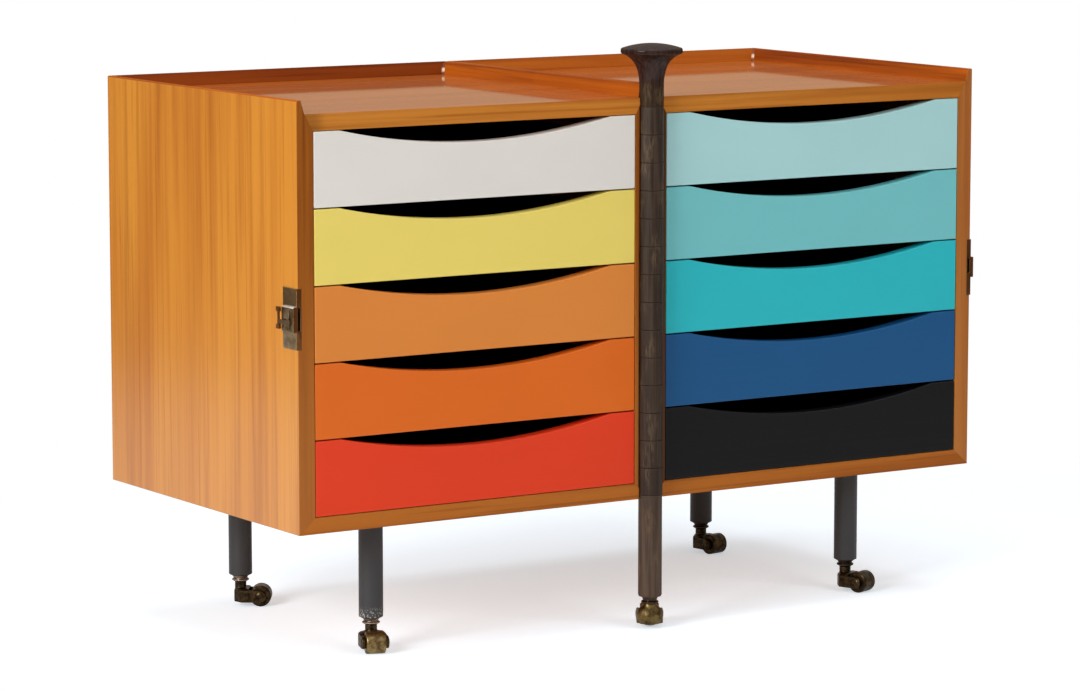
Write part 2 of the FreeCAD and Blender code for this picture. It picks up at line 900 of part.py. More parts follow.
def make_casters():
    sockets = {"left": [], "right": []}
    for name, x, y in caster_places():
        turn = f"{name}_turn"
        y = f"{AXIS_Y} + {y}"
        keep(f"{name}_horn", make_horn(f"{name}_horn"), x, y, "0", turn)
        keep(f"{name}_wheel", make_wheel(f"{name}_wheel"), x, y, "0", turn)
        length = FOOT_LENGTH if name == "post" else "leg_length"
        leg_end = f"(caster_height + leg_length - {length})"
        socket = make_socket(f"{name}_socket", leg_end)
        place(socket, x, y, "0")
        sockets["right" if name.startswith("right") else "left"].append(socket)
    for half, pieces in sockets.items():
        name = f"{half}_caster_sockets"
        keep(name, group(name, pieces), "0", "0", "0")


# Latch


def cut_latch_seat(body, sign, height):
    """Seats for the front flange and for the housing of a latch or keeper."""
    flange = new_sketch(body, "XZ_Plane", f"-{FRONT}")
    draw_rectangle(
        flange,
        f"{sign}*{OUTER}",
        f"{LATCH_Z} - plate_height/2 - wood_gap",
        f"{sign}*({OUTER} - flange_width - wood_gap)",
        f"{LATCH_Z} + plate_height/2 + wood_gap",
    )
    cut(body, flange, "plate_thick")
    housing = new_sketch(body, "YZ_Plane", f"{sign}*{OUTER}")
    draw_rectangle(
        housing,
        FRONT,
        f"{LATCH_Z} - {height}/2 - wood_gap",
        f"{FRONT} + housing_width + wood_gap",
        f"{LATCH_Z} + {height}/2 + wood_gap",
    )
    cut(body, housing, "housing_depth + wood_gap", along=sign < 0)


def latch_block(body, sign, start, depth, y_size, height):
    """A block of a latch, from start outwards, beside the front edge."""
    base = new_sketch(body, "YZ_Plane", f"{sign}*({start})")
    draw_rectangle(
        base,
        FRONT,
        f"{LATCH_Z} - {height}/2",
        f"{FRONT} + {y_size}",
        f"{LATCH_Z} + {height}/2",
    )
    return pad(body, base, depth, backwards=sign < 0)


def make_latch_case(name, sign, height, proud, slot_low):
    """Plate with a hollow housing that opens forwards through a slot."""
    body = new_body(name)
    latch_block(body, sign, OUTER, "plate_thick", "plate_width", "plate_height")
    flange = new_sketch(body, "XZ_Plane", f"-{FRONT}")
    draw_rectangle(
        flange,
        f"{sign}*({OUTER} + plate_thick)",
        f"{LATCH_Z} - plate_height/2",
        f"{sign}*({OUTER} - flange_width)",
        f"{LATCH_Z} + plate_height/2",
    )
    pad(body, flange, "plate_thick", backwards=True)
    latch_block(
        body, sign, f"{OUTER} - housing_depth", f"housing_depth + {proud}", "housing_width", height
    )
    hollow_start = f"({OUTER} - housing_depth + housing_wall)"
    hollow_depth = "(hook_thick + 2*hook_gap)"
    hollow = new_sketch(body, "YZ_Plane", f"{sign}*{hollow_start}")
    draw_rectangle(
        hollow,
        f"{FRONT} + plate_thick",
        f"{LATCH_Z} - {height}/2 + housing_wall",
        f"{FRONT} + housing_width - housing_wall",
        f"{LATCH_Z} + {height}/2 - housing_wall",
    )
    cut(body, hollow, hollow_depth, along=sign > 0)
    slot = new_sketch(body, "YZ_Plane", f"{sign}*{hollow_start}")
    draw_rectangle(
        slot,
        "0",
        f"{LATCH_Z} - {slot_low}",
        f"{FRONT} + plate_thick + 1",
        f"{LATCH_Z} + {height}/2 - housing_wall",
    )
    cut(body, slot, hollow_depth, along=sign > 0)
    return body


def make_latch_plate(sign):
    body = make_latch_case(
        "latch_plate", sign, "latch_height", "latch_proud", "(latch_height/2 - housing_wall)"
    )
    hole = new_sketch(body, "YZ_Plane", f"{sign}*{OUTER}")
    draw_circle(
        hole,
        f"{FRONT} + pivot_from_front",
        f"{LATCH_Z} - pivot_below_middle",
        "pivot_dia/2 + running_gap",
    )
    start = "housing_depth - housing_wall - hook_gap"
    cut(body, hole, f"2*({start} + latch_proud)", both_ways=True)
    return keep("latch_plate", body)


def make_latch_hook(sign):
    """Hook inside the housing, its pivot and the thumb lever outside, riveted up."""
    body = new_body("latch_hook")
    pivot_y = f"({FRONT} + pivot_from_front)"
    pivot_z = f"({LATCH_Z} - pivot_below_middle)"
    hook_top = f"({LATCH_Z} + latch_height/2 - housing_wall - 1)"
    hook_x = f"({OUTER} - housing_depth + housing_wall + hook_gap)"
    lever_x = f"({OUTER} + latch_proud + hook_gap)"
    inner = new_sketch(body, "YZ_Plane", f"{sign}*{hook_x}")
    draw_outline(
        inner,
        [
            (f"{pivot_y} + hook_width/2", f"{pivot_z} - hook_width/2"),
            (f"{pivot_y} + hook_width/2", hook_top),
            (f"{pivot_y} - hook_width/2 - beak_drop", hook_top),
            (f"{pivot_y} - hook_width/2 - beak_drop", f"{hook_top} - beak_length"),
            (f"{pivot_y} - hook_width/2", f"{hook_top} - beak_length"),
            (f"{pivot_y} - hook_width/2", f"{pivot_z} - hook_width/2"),
        ],
    )
    pad(body, inner, "hook_thick", backwards=sign < 0)
    pin = new_sketch(body, "YZ_Plane", f"{sign}*{hook_x}")
    draw_circle(pin, pivot_y, pivot_z, "pivot_dia/2")
    pad(body, pin, f"{lever_x} - {hook_x} + lever_thick", backwards=sign < 0)
    boss = new_sketch(body, "YZ_Plane", f"{sign}*{lever_x}")
    draw_circle(boss, pivot_y, pivot_z, "boss_dia/2")
    pad(body, boss, "lever_thick", backwards=sign < 0)
    bar_y = f"({pivot_y} + lever_reach - bar_width)"
    arm = new_sketch(body, "YZ_Plane", f"{sign}*{lever_x}")
    draw_rectangle(
        arm, pivot_y, f"{pivot_z} - lever_width/2", f"{bar_y} + bar_width", f"{pivot_z} + lever_width/2"
    )
    pad(body, arm, "lever_thick", backwards=sign < 0)
    bar = new_sketch(body, "YZ_Plane", f"{sign}*{lever_x}")
    draw_rectangle(
        bar, bar_y, f"{LATCH_Z} - bar_height/2", f"{bar_y} + bar_width", f"{LATCH_Z} + bar_height/2"
    )
    pad(body, bar, "lever_thick", backwards=sign < 0)
    for end in (-1, 1):
        knob = new_sketch(body, "YZ_Plane", f"{sign}*{lever_x}")
        draw_rectangle(
            knob,
            f"{bar_y} + bar_width - knob_width",
            f"{LATCH_Z} + {end}*(bar_height/2 - knob_width/2) - knob_width/2",
            f"{bar_y} + bar_width + knob_width/4",
            f"{LATCH_Z} + {end}*(bar_height/2 - knob_width/2) + knob_width/2",
        )
        pad(body, knob, "lever_thick + 1", backwards=sign < 0)
    return keep("latch_hook", body)


def make_keeper_plate(sign):
    body = make_latch_case(
        "keeper_plate", sign, "keeper_height", "keeper_proud", "keeper_slot_drop"
    )
    return keep("keeper_plate", body)


# Drawers


def make_drawer_front(half, sign, number):
    """A flush front with a shallow scoop in its upper edge for the fingers."""
    name = f"{half}_drawer_{number}_front"
    low = drawer_floor(number)
    high = f"({low} + {PITCH} - drawer_gap)"
    near_side = f"{sign}*({BAY_INNER} + drawer_side_gap)"
    far_side = f"{sign}*({BAY_OUTER} - drawer_side_gap)"
    middle = f"({MIDDLE} + half_width/2)"
    scoop_radius = "(scoop_width^2/4 + scoop_depth^2)/(2*scoop_depth)"
    body = new_body(name)
    outline = draw_outline(
        new_sketch(body, "XZ_Plane", f"-{FRONT}"),
        [
            (near_side, low),
            (far_side, low),
            (far_side, high),
            (f"{sign}*({middle} + scoop_width/2)", high),
            (f"{sign}*({middle} - scoop_width/2)", high),
            (near_side, high),
        ],
        {3: f"{-sign}*{scoop_radius}"},
    )
    pad(body, outline, "front_thick", backwards=True)
    front_y, low_z = value(FRONT), value(low)
    round_edges(
        body,
        "edge_round",
        lambda e: near(e.BoundBox.YMax, front_y)
        and (near(e.BoundBox.ZMax, low_z) or e.BoundBox.XLength < 0.1),
    )
    return keep(name, body)


def make_drawer_box(half, sign, number):
    """Two grooved sides, a back and a thin floor behind a drawer front."""
    name = f"{half}_drawer_{number}_box"
    low = f"({drawer_floor(number)} + box_lift)"
    high = f"({low} + box_height)"
    front = f"({FRONT} + front_thick)"
    rear = f"({REAR} - back_thick - box_back_gap)"
    floor_low = f"({low} + box_floor_lift)"
    floor_high = f"({low} + box_floor_lift + box_floor)"
    groove_low = f"({low} + runner_lift - runner_gap)"
    groove_high = f"({low} + runner_lift + runner_height + runner_gap)"

    def ordered(a, b):
        return sorted((f"{sign}*({a})", f"{sign}*({b})"), key=value)

    pieces = []
    for wall, inward in ((BAY_OUTER, -1), (BAY_INNER, 1)):
        face = f"({wall} + {inward}*drawer_side_gap)"
        groove_floor = f"({face} + {inward}*groove_depth)"
        inner_face = f"({face} + {inward}*box_wall)"
        plank = box("drawer_side", *ordered(face, inner_face), front, rear, low, high)
        groove = box("groove", *ordered(face, groove_floor), front, rear, groove_low, groove_high)
        pieces.append(combine("Cut", "grooved_side", plank, groove))
    across = ordered(
        f"{BAY_OUTER} - drawer_side_gap - box_wall", f"{BAY_INNER} + drawer_side_gap + box_wall"
    )
    pieces.append(box("drawer_floor", *across, front, rear, floor_low, floor_high))
    pieces.append(box("drawer_back", *across, f"{rear} - box_wall", rear, floor_high, high))
    return keep(name, group(name, pieces))


for half, sign in HALVES.items():
    make_side(half, sign, is_outer=True)
    make_side(half, sign, is_outer=False)
    make_bottom(half, sign)
    make_top(half, sign)
    make_back(half, sign)
    make_back_rim(half, sign)
    make_runners(half, sign)
    for which, y in zip(("front", "back"), leg_places()):
        make_leg(half, sign, which, y)
    make_knuckles(half, sign)
    make_knuckle_screws(half, sign)
    for number in range(1, DRAWERS + 1):
        make_drawer_front(half, sign, number)
        make_drawer_box(half, sign, number)
make_rod()
make_post_head()
make_post_foot()
make_casters()
make_latch_plate(HALVES["left"])
make_latch_hook(HALVES["left"])
make_keeper_plate(HALVES["right"])

doc.recompute()
faults = [o.Name for o in doc.Objects if "Invalid" in o.State or "Error" in o.State]
if faults:
    raise RuntimeError("not built: " + ", ".join(faults))
for name, thing in nodes.items():
    if thing.Shape.isNull() or not thing.Shape.isValid() or not thing.Shape.Solids:
        raise RuntimeError("bad shape: " + name)
os.makedirs("parts", exist_ok=True)
for name, thing in nodes.items():
    thing.Shape.exportStep(os.path.join("parts", name + ".step"))
print(len(nodes), "pieces")
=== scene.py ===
import json
import math

import bmesh
import bpy
from mathutils import Matrix, Vector


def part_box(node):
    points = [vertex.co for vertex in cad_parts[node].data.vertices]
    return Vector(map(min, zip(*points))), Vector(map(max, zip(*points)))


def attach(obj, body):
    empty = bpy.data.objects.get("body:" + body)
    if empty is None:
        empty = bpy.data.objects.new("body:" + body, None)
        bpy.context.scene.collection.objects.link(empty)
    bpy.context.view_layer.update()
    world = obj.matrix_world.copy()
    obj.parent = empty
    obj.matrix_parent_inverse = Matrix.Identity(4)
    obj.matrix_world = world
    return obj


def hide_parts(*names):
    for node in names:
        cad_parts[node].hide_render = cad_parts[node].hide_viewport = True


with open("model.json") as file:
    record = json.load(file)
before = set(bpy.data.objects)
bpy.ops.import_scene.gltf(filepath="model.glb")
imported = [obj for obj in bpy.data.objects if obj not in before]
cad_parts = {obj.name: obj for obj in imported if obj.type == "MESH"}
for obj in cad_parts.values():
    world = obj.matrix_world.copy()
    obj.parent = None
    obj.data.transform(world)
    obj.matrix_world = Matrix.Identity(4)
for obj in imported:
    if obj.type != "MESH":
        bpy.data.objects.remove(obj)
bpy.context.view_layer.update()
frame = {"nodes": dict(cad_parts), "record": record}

# Folding drawer cabinet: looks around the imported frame. Metres, drawers facing -Y.

NODES = frame["nodes"]
RECORD = frame["record"]
BODY_OF = {
    node: body for body, members in RECORD["behaviour"]["bodies"].items() for node in members
}


# Node trees

BEVEL_SAMPLES = 4


def colour(red, green, blue):
    """A screen colour, 0 to 255, as linear light."""
    def linear(level):
        level = level / 255
        return level / 12.92 if level <= 0.04045 else ((level + 0.055) / 1.055) ** 2.4
    return (linear(red), linear(green), linear(blue), 1.0)


class Finish:
    """A node material, with short calls for the nodes it needs."""

    def __init__(self, name, roughness=0.5, metallic=0.0, coat=0.0, coat_roughness=0.1):
        self.material = bpy.data.materials.new(name)
        self.material.use_nodes = True
        self.nodes = self.material.node_tree.nodes
        self.links = self.material.node_tree.links
        self.shader = self.nodes["Principled BSDF"]
        coords = self.nodes.new("ShaderNodeTexCoord")
        self.place = coords.outputs["Object"]
        self.facing = coords.outputs["Normal"]
        self.put("Roughness", roughness)
        self.put("Metallic", metallic)
        self.put("Coat Weight", coat)
        self.put("Coat Roughness", coat_roughness)

    def feed(self, socket, given):
        """Sets a socket, or links it when a socket is given."""
        if isinstance(given, bpy.types.NodeSocket):
            self.links.new(given, socket)
        else:
            socket.default_value = given

    def put(self, socket, given):
        """Feeds a socket of the shader itself."""
        self.feed(self.shader.inputs[socket], given)

    def math(self, operation, first, second=0.0, third=0.0, clamp=False):
        """Works on one to three values or sockets."""
        node = self.nodes.new("ShaderNodeMath")
        node.operation = operation
        node.use_clamp = clamp
        for socket, given in zip(node.inputs, (first, second, third)):
            self.feed(socket, given)
        return node.outputs[0]

    def axis(self, vector, letter):
        """A vector's X, Y or Z."""
        node = self.nodes.new("ShaderNodeSeparateXYZ")
        self.feed(node.inputs[0], vector)
        return node.outputs[letter]

    def scaled(self, scale, shift=(0, 0, 0)):
        """Object coordinates, scaled and then shifted."""
        node = self.nodes.new("ShaderNodeMapping")
        self.feed(node.inputs["Vector"], self.place)
        node.inputs["Scale"].default_value = scale
        node.inputs["Location"].default_value = shift
        return node.outputs[0]

    def noise(self, vector, detail=2.0, roughness=0.5, distortion=0.0):
        """Cloudy noise around 0.5, its size set by the vector's scale."""
        node = self.nodes.new("ShaderNodeTexNoise")
        self.feed(node.inputs["Vector"], vector)
        node.inputs["Scale"].default_value = 1.0
        node.inputs["Detail"].default_value = detail
        node.inputs["Roughness"].default_value = roughness
        node.inputs["Distortion"].default_value = distortion
        return node.outputs["Fac"]

    def fade(self, given, start, end, low=0.0, high=1.0):
        """Runs smoothly from low to high as the value given goes from start to end."""
        node = self.nodes.new("ShaderNodeMapRange")
        node.interpolation_type = "SMOOTHSTEP"
        self.feed(node.inputs["Value"], given)
        node.inputs["From Min"].default_value = start
        node.inputs["From Max"].default_value = end
        node.inputs["To Min"].default_value = low
        node.inputs["To Max"].default_value = high
        return node.outputs["Result"]

    def feed_colour(self, node, name, given):
        """Feeds the colour socket among those that share a name."""
        sockets = [s for s in node.inputs if s.name == name and s.type == "RGBA"]
        self.feed(sockets[0], given)

    def mix(self, amount, under, over):
        """Lays one colour over another by an amount from 0 to 1."""
        node = self.nodes.new("ShaderNodeMix")
        node.data_type = "RGBA"
        self.feed(node.inputs[0], amount)
        self.feed_colour(node, "A", under)
        self.feed_colour(node, "B", over)
        return next(s for s in node.outputs if s.type == "RGBA")

    def rounded(self, radius):
        """The surface's direction as if its edges had this radius."""
        bevel = self.nodes.new("ShaderNodeBevel")
        bevel.samples = BEVEL_SAMPLES
        bevel.inputs["Radius"].default_value = radius
        return bevel.outputs[0]

    def edges(self, radius):
        """High where the surface turns sharply: edges and corners."""
        geometry = self.nodes.new("ShaderNodeNewGeometry")
        dot = self.nodes.new("ShaderNodeVectorMath")
        dot.operation = "DOT_PRODUCT"
        self.feed(dot.inputs[0], self.rounded(radius))
        self.feed(dot.inputs[1], geometry.outputs["Normal"])
        return self.math("SUBTRACT", 1.0, dot.outputs["Value"], clamp=True)

    def bump(self, height, distance, radius, strength=1.0):
        """Relief from a height, on a surface with rounded edges."""
        node = self.nodes.new("ShaderNodeBump")
        node.inputs["Strength"].default_value = strength
        node.inputs["Distance"].default_value = distance
        self.feed(node.inputs["Height"], height)
        self.feed(node.inputs["Normal"], self.rounded(radius))
        self.put("Normal", node.outputs[0])


# Wood: straight grain along one axis, with soft bands, fine pores and a few dark lines

# Light, middle and dark tone of each wood
SIDE_TONES = (colour(212, 138, 44), colour(194, 117, 33), colour(150, 76, 16))
DARK_STILE = (colour(154, 87, 24), colour(138, 71, 17), colour(98, 44, 9))
PALE_STILE = (colour(180, 112, 54), colour(162, 94, 42), colour(124, 64, 25))
RAIL_TONES = (colour(200, 128, 50), colour(180, 106, 38), colour(138, 70, 22))
SILL_TONES = (colour(176, 102, 36), colour(158, 86, 28), colour(118, 56, 16))
RIM_TONES = (colour(182, 90, 10), colour(144, 62, 5), colour(96, 34, 3))
TRAY_TONES = (colour(190, 100, 30), colour(176, 88, 22), colour(138, 60, 12))
BACK_TONES = (colour(200, 126, 50), colour(182, 106, 38), colour(146, 76, 26))
DARK_RIM = (colour(132, 59, 14), colour(112, 44, 9), colour(72, 25, 5))
PALE_RIM = (colour(184, 100, 32), colour(160, 80, 24), colour(112, 50, 14))
SHADED_TONE = colour(62, 36, 20)

# Scale of each width of grain across it and along it
ACROSS = {"band": 14.0, "stripe": 75.0, "line": 210.0, "pore": 900.0}
ALONG = {"band": 1.17, "stripe": 1.8, "line": 2.88, "pore": 12.6}
WOOD_RELIEF = 0.00004

# The sides' rims are matt, have their own grain, and most get a little paler towards the front
RIM_SHIFT = (2, 4, 1)
RIM_CONTRAST = 1.4
RIM_ROUGHNESS = 0.65
RIM_COAT = 0.02
PALER_RIM_Y = (0.034, 0.026)

# The front edges have their own grain, and upright ones get a painted floor bounce, paler down
# to the floor
LIPPING_SHIFT = (3, 5, 7)
FLOOR_BOUNCE_STILE_Z = (0.5, 0.2)

# Darkened front edges: a painted shadow of the post on those beside it, but for a thin strip at
# the left, and the end of the left tray's rail
INNER_SIDE_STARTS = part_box("left_inner_side")[0].x
STRIP_X = (INNER_SIDE_STARTS + 0.0033, INNER_SIDE_STARTS + 0.0053)
STRIP_SHADE = 0.85
RAIL_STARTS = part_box("left_outer_side")[1].x
RAIL_END_X = (RAIL_STARTS + 0.0195, RAIL_STARTS - 0.0005)
RAIL_END_SHADE = 0.4


def grain_space(finish, grain, width, shift=(0, 0, 0)):
    """Object coordinates pulled out along the grain."""
    scale = [ACROSS[width]] * 3
    scale["XYZ".index(grain)] = ALONG[width]
    return finish.scaled(tuple(scale), shift)


def grain_tone(finish, grain, tones, shift=(0, 0, 0), contrast=1.0):
    """Soft bands, stripes, fine lines and pores, and the height of the grain."""
    light, middle, dark = tones
    band = finish.noise(grain_space(finish, grain, "band", shift), detail=2.0, distortion=0.3)
    stripe = finish.noise(grain_space(finish, grain, "stripe", shift), detail=4.0, roughness=0.6)
    line = finish.noise(grain_space(finish, grain, "line", shift), detail=3.0, roughness=0.55)
    pore = finish.noise(grain_space(finish, grain, "pore", shift), detail=2.0)
    tone = finish.mix(finish.fade(band, 0.36, 0.64), middle, light)
    tone = finish.mix(finish.fade(stripe, 0.5, 0.32, 0.0, 0.8 * contrast), tone, light)
    tone = finish.mix(finish.fade(stripe, 0.46, 0.72, 0.0, 0.55 * contrast), tone, dark)
    tone = finish.mix(finish.fade(line, 0.56, 0.7, 0.0, 0.45 * contrast), tone, dark)
    pores = finish.fade(pore, 0.6, 0.75, 0.0, 0.16 * contrast)
    tone = finish.mix(pores, tone, dark)
    return tone, finish.math("SUBTRACT", finish.math("MULTIPLY", stripe, 0.5), pores)


def wood(name, grain, tones, shift=(0, 0, 0), contrast=1.0, lipping=None, rim=None,
         roughness=0.4, coat=0.45, coat_roughness=0.2, specular=0.12, rim_paling=0.25,
         shaded=None):
    """Lacquered wood; lipping tones cover the front edges and rim tones the tapered rims.

    rim_paling is how much paler the front half of a rim is, and shaded gives how far the
    front edges have darkened at each place. Both go from 0 to 1.
    """
    finish = Finish(name, roughness=roughness, coat=coat, coat_roughness=coat_roughness)
    finish.put("Specular IOR Level", specular)
    tone, height = grain_tone(finish, grain, tones, shift, contrast)
    gloss = coat
    if rim:
        inner = finish.fade(finish.axis(finish.facing, "Z"), 0.1, 0.2)
        rim_tone = grain_tone(finish, "Y", rim, RIM_SHIFT, RIM_CONTRAST)[0]
        nearer = finish.fade(finish.axis(finish.place, "Y"), *PALER_RIM_Y, 0.0, rim_paling)
        rim_tone = finish.mix(nearer, rim_tone, rim[0])
        tone = finish.mix(inner, tone, rim_tone)
        gloss = finish.math("MULTIPLY_ADD", inner, RIM_COAT - coat, gloss)
        rougher = finish.math("MULTIPLY_ADD", inner, RIM_ROUGHNESS - roughness, roughness)
        finish.put("Roughness", rougher)
    if lipping:
        forward = finish.math("ABSOLUTE", finish.axis(finish.facing, "Y"))
        front = finish.fade(forward, 0.55, 0.8)
        strip = grain_tone(finish, grain, lipping, LIPPING_SHIFT)[0]
        if grain == "Z":
            # Painted light: upright front edges get paler towards the floor, for the floor's
            # bounce
            floor_bounce = finish.fade(finish.axis(finish.place, "Z"), *FLOOR_BOUNCE_STILE_Z, 0.0, 0.5)
            strip = finish.mix(floor_bounce, strip, PALE_STILE[0])
        if shaded:
            strip = finish.mix(shaded(finish), strip, SHADED_TONE)
        tone = finish.mix(front, tone, strip)
        gloss = finish.math("MINIMUM", gloss, finish.math("SUBTRACT", 1.0, front))
    finish.put("Coat Weight", gloss)
    finish.put("Base Color", tone)
    finish.bump(height, WOOD_RELIEF, radius=0.0009)
    return finish.material


# Paint: its darker clouds and a painted highlight that makes its edges paler

CLOUD_SHADE = 0.976
EDGE_HIGHLIGHT_GAIN = 1.15
EDGE_HIGHLIGHT_LIFT = 0.07
PAINT_RELIEF = 0.00005


def paint(name, tone, roughness=0.5, edge=0.7, specular=0.3):
    """Even satin paint on wood: brushed unevenness, and a painted highlight that makes the edges
    a little paler.
    """
    finish = Finish(name, roughness=roughness)
    finish.put("Specular IOR Level", specular)
    cloud = finish.noise(finish.scaled((7, 7, 11)), detail=3.0)
    brush = finish.noise(finish.scaled((6, 6, 420)), detail=3.0)
    darker = tuple(c * CLOUD_SHADE for c in tone[:3]) + (1.0,)
    body = finish.mix(finish.fade(cloud, 0.35, 0.65), tone, darker)
    # Painted highlight: the edges are mixed towards a paler tone
    paler = tuple(min(1.0, c * EDGE_HIGHLIGHT_GAIN + EDGE_HIGHLIGHT_LIFT) for c in tone[:3]) + (1.0,)
    pale_edges = finish.math("MULTIPLY", finish.fade(finish.edges(radius=0.0019), 0.02, 0.2), edge)
    finish.put("Base Color", finish.mix(pale_edges, body, paler))
    finish.put("Roughness", finish.fade(brush, 0.3, 0.7, roughness - 0.04, roughness + 0.06))
    finish.bump(brush, PAINT_RELIEF, radius=0.0007, strength=0.35)
    return finish.material


# Metal

METAL_RELIEF = 0.00012
SPOT_SCALE = 3.4

# The ferrules carry a painted shade from here to the right
SHADED_FROM_X = (-0.06, -0.05)

# The latch's case is centred on its plate; its top edge has a painted highlight between two
# heights, and the hook is brown behind the case
LATCH_LOW, LATCH_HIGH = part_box("latch_plate")
CASE_HEIGHT = 0.028
CASE_TOP = (LATCH_LOW.z + LATCH_HIGH.z + CASE_HEIGHT) / 2
HIGHLIGHT_FROM = (CASE_TOP - 0.00215, CASE_TOP - 0.00175)
HIGHLIGHT_TO = (CASE_TOP + 0.00075, CASE_TOP + 0.00035)
BEHIND_CASE_Y = (LATCH_HIGH.y - 0.0054, LATCH_HIGH.y - 0.0034)


def metal(name, bright, dull, dark, wear=0.7, scale=260.0, painted_highlight=None, front=None,
          tail=None, middle=None):
    """Aged metal: patches of tarnish, dark specks and bright rubbed edges.

    The last four are tones for parts of it: painted_highlight for a painted highlight on a
    band that leans upwards, front for a painted brown reflection on what faces the way the
    drawers do, tail for what lies behind the latch's case, and middle for a painted shade
    on what lies under the post or right of it.
    """
    finish = Finish(name, metallic=1.0)
    patch = finish.noise(finish.scaled((scale,) * 3), detail=5.0, roughness=0.65)
    spots = finish.noise(finish.scaled((scale * SPOT_SCALE,) * 3), detail=3.0)
    tone = finish.mix(finish.fade(patch, 0.375, 0.65), dull, dark)
    tone = finish.mix(finish.fade(spots, 0.56, 0.72, 0.0, 0.6), tone, dark)
    pale_edges = finish.math("MULTIPLY", finish.fade(finish.edges(radius=0.0012), 0.02, 0.2), wear)
    tone = finish.mix(pale_edges, tone, bright)
    # Painted reflection: what faces the way the drawers do is mixed towards brown
    if front:
        forward = finish.fade(finish.axis(finish.facing, "Y"), -0.6, -0.85, 0.0, 0.85)
        tone = finish.mix(forward, tone, front)
    # Painted shade: what lies under the post or right of it is mixed towards dark
    if middle:
        shaded_right = finish.fade(finish.axis(finish.place, "X"), *SHADED_FROM_X, 0.0, 0.9)
        tone = finish.mix(shaded_right, tone, middle)
    if tail:
        behind = finish.fade(finish.axis(finish.place, "Y"), *BEHIND_CASE_Y, 0.0, 0.85)
        tone = finish.mix(behind, tone, tail)
    # Painted highlight on the band of the top edge that leans upwards
    if painted_highlight:
        height = finish.axis(finish.place, "Z")
        high = finish.fade(height, *HIGHLIGHT_FROM)
        low = finish.fade(height, *HIGHLIGHT_TO)
        leaning = finish.fade(finish.axis(finish.facing, "Z"), 0.1, 0.3)
        lit = finish.math("MULTIPLY", finish.math("MULTIPLY", high, low), leaning)
        tone = finish.mix(lit, tone, painted_highlight)
    finish.put("Base Color", tone)
    finish.put("Roughness", finish.fade(patch, 0.3, 0.7, 0.27, 0.49))
    finish.bump(patch, METAL_RELIEF, radius=0.0005, strength=0.5)
    return finish.material


# The woods

def beside_post(finish):
    """The shade that the post casts on the front edges beside it."""
    return finish.fade(finish.axis(finish.place, "X"), *STRIP_X, 0.0, STRIP_SHADE)


def left_corner(finish):
    """The top rail's darker end at the left side."""
    return finish.fade(finish.axis(finish.place, "X"), *RAIL_END_X, 0.0, RAIL_END_SHADE)


side_wood = wood(
    "side_wood", "Z", SIDE_TONES, lipping=DARK_STILE, rim=RIM_TONES, contrast=0.75, coat=0.95,
)
side_wood_inner = wood(
    "side_wood_inner", "Z", SIDE_TONES, lipping=DARK_STILE, rim=RIM_TONES, contrast=0.75,
    coat=0.95, shaded=beside_post,
)
side_wood_pale = wood(
    "side_wood_pale", "Z", SIDE_TONES, (6, 3, 0), lipping=PALE_STILE, rim=RIM_TONES,
    contrast=0.75, coat=0.95, rim_paling=0.0,
)
level_wood = wood("level_wood", "X", SIDE_TONES, lipping=SILL_TONES, coat=0.15)
tray_wood = wood(
    "tray_wood", "X", TRAY_TONES, lipping=RAIL_TONES, roughness=0.5, coat=0.7,
    coat_roughness=0.05, specular=0.05, contrast=0.3, shaded=left_corner,
)
back_wood = wood("back_wood", "X", BACK_TONES)
rim_wood = wood("rim_wood", "X", DARK_RIM, coat=0.03, specular=0.04, roughness=0.5)
rim_wood_pale = wood("rim_wood_pale", "X", PALE_RIM, coat=0.03, specular=0.04, roughness=0.5)
dark_wood = paint("dark_wood", colour(38, 32, 29), roughness=0.62, edge=0.2, specular=0.2)
scoop_dark = paint("scoop_dark", colour(22, 18, 16), roughness=0.75, edge=0.0, specular=0.04)


# The post and the legs

RIM_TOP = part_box("left_back_rim")[1].z
HEAD_FADE_Z = (RIM_TOP - 0.0025, RIM_TOP + 0.0065)
POST_RELIEF = 0.00014
POST_TONES = (colour(40, 29, 22), colour(62, 48, 38), colour(126, 104, 76))
FOOT_TONES = (colour(60, 46, 37), colour(86, 69, 56), colour(128, 98, 66))
HEAD_TONES = (colour(40, 26, 22), colour(60, 42, 36))
LEG_TONE = colour(56, 56, 57)
SCUFF_TONE = colour(168, 166, 162)
LEG_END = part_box("left_front_leg")[0].z
SCUFFED_Z = (LEG_END + 0.016, LEG_END + 0.005)
SCUFF_RELIEF = 0.00008


def post_finish(name, base, streak, gold, ring=0.3, roughness=0.5, specular=0.22, coat=0.0,
                above=None):
    """Dark stained wood with vertical streaks, worn golden in places and at each ring.

    above gives the two tones that take over from the neck upwards.
    """
    finish = Finish(name, roughness=roughness, coat=coat, coat_roughness=0.16)
    finish.put("Specular IOR Level", specular)
    streaks = finish.noise(finish.scaled((260, 260, 9)), detail=4.0, roughness=0.62)
    cloud = finish.noise(finish.scaled((60, 60, 22)), detail=3.0)
    fine = finish.noise(finish.scaled((500, 500, 90)), detail=3.0)
    tone = finish.mix(finish.fade(streaks, 0.36, 0.68), base, streak)
    worn = finish.math("MULTIPLY", finish.fade(cloud, 0.5, 0.7), finish.fade(fine, 0.4, 0.62))
    tone = finish.mix(finish.math("MULTIPLY", worn, 0.3), tone, gold)
    turns = finish.fade(finish.edges(radius=0.0014), 0.015, 0.12)
    pale_edges = finish.math("MULTIPLY", turns, ring)
    tone = finish.mix(pale_edges, tone, gold)
    if above:
        upper = finish.mix(finish.fade(streaks, 0.36, 0.68), *above)
        is_upper = finish.fade(finish.axis(finish.place, "Z"), *HEAD_FADE_Z)
        tone = finish.mix(is_upper, tone, upper)
    finish.put("Base Color", tone)
    finish.put("Roughness", finish.fade(streaks, 0.3, 0.7, roughness - 0.08, roughness + 0.1))
    finish.bump(streaks, POST_RELIEF, radius=0.0006, strength=0.5)
    return finish.material


